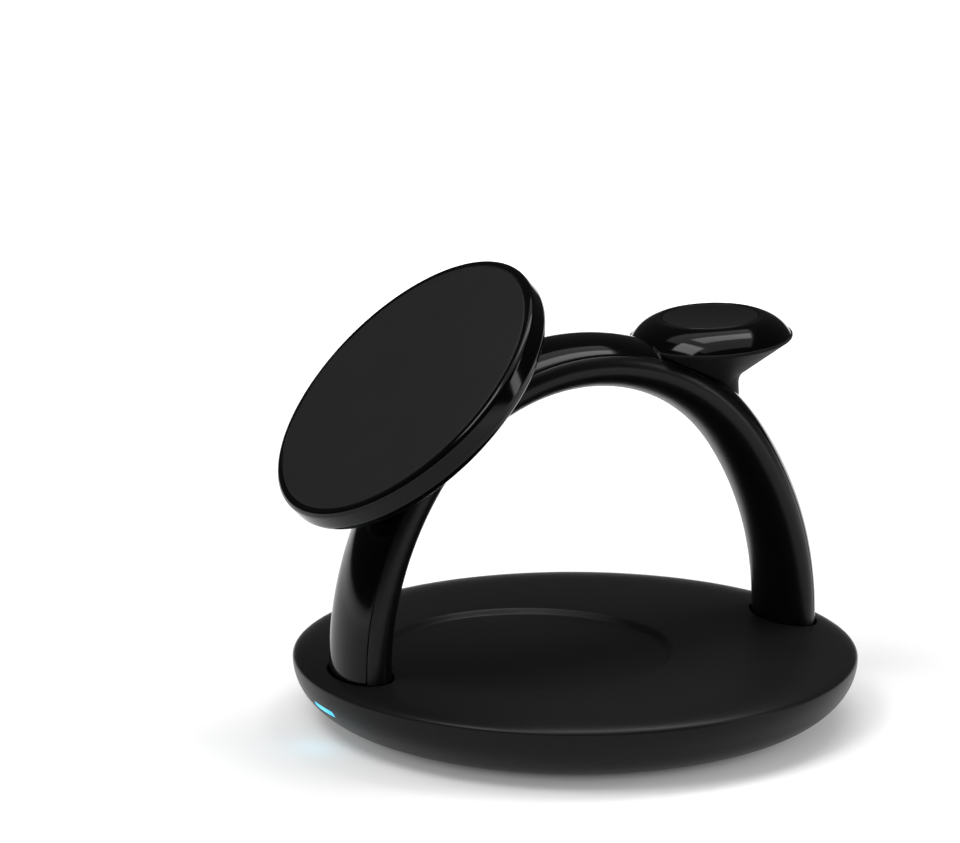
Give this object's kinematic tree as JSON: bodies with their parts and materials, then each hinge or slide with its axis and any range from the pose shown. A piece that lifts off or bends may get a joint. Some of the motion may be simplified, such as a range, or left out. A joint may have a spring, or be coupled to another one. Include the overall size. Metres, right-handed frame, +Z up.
{
  "type": "three in one wireless charger",
  "caption": "Desk charger without wires: a round black base with an earbud bay, bridged by an arch that carries a tilted round phone pad and a small dish for a watch.",
  "frame": {"origin": "centre of the round base on the surface that it stands on", "axes": "+Z up, +Y to the rear, towards the power socket, and -Y to the front, where the phone pad faces; the arch lies in the YZ plane"},
  "size_m": [0.102, 0.1059, 0.0841],
  "materials": {
    "soft_black": "soft-touch matte",
    "lid_black": "fine moulded texture",
    "satin_black": "satin moulded",
    "piano_black": "high gloss",
    "pad_silicone": "soft matte silicone",
    "puck_black": "satin gloss",
    "foot_rubber": "matte",
    "status_light": "lit, frosted",
    "light_source": "clear moulded",
    "ballast_steel": "zinc plated",
    "screw_steel": "black oxide",
    "socket_steel": "drawn and plated",
    "film": "thin film",
    "board": "solder mask",
    "board_parts": "moulded",
    "coil_wire": "enamelled copper wire",
    "ferrite": "sintered",
    "magnet": "nickel plated",
    "lead": "sleeved"
  },
  "bodies": {
    "root": {"base_shell": "soft_black", "base_cover": "lid_black", "arch_channel": "satin_black", "dish_bowl": "satin_black", "arch_cover": "piano_black", "pad_back": "piano_black", "dish_cup": "piano_black", "pad_face": "pad_silicone", "dish_puck": "puck_black", "foot_ring": "foot_rubber", "light_bar": "status_light", "light_chips": "light_source", "ballast_plate": "ballast_steel", "pad_yoke": "ballast_steel", "cover_screws": "screw_steel", "board_screws": "screw_steel", "leg_screws": "screw_steel", "pad_screws": "screw_steel", "dish_screws": "screw_steel", "usb_c_socket": "socket_steel", "insulating_film": "film", "main_board": "board", "board_parts": "board_parts", "earbud_coil": "coil_wire", "phone_coil": "coil_wire", "watch_coil": "coil_wire", "earbud_ferrite": "ferrite", "phone_ferrite": "ferrite", "watch_ferrite": "ferrite", "pad_magnets": "magnet", "watch_magnet": "magnet", "phone_lead": "lead", "watch_lead": "lead"}
  },
  "joints": []
}
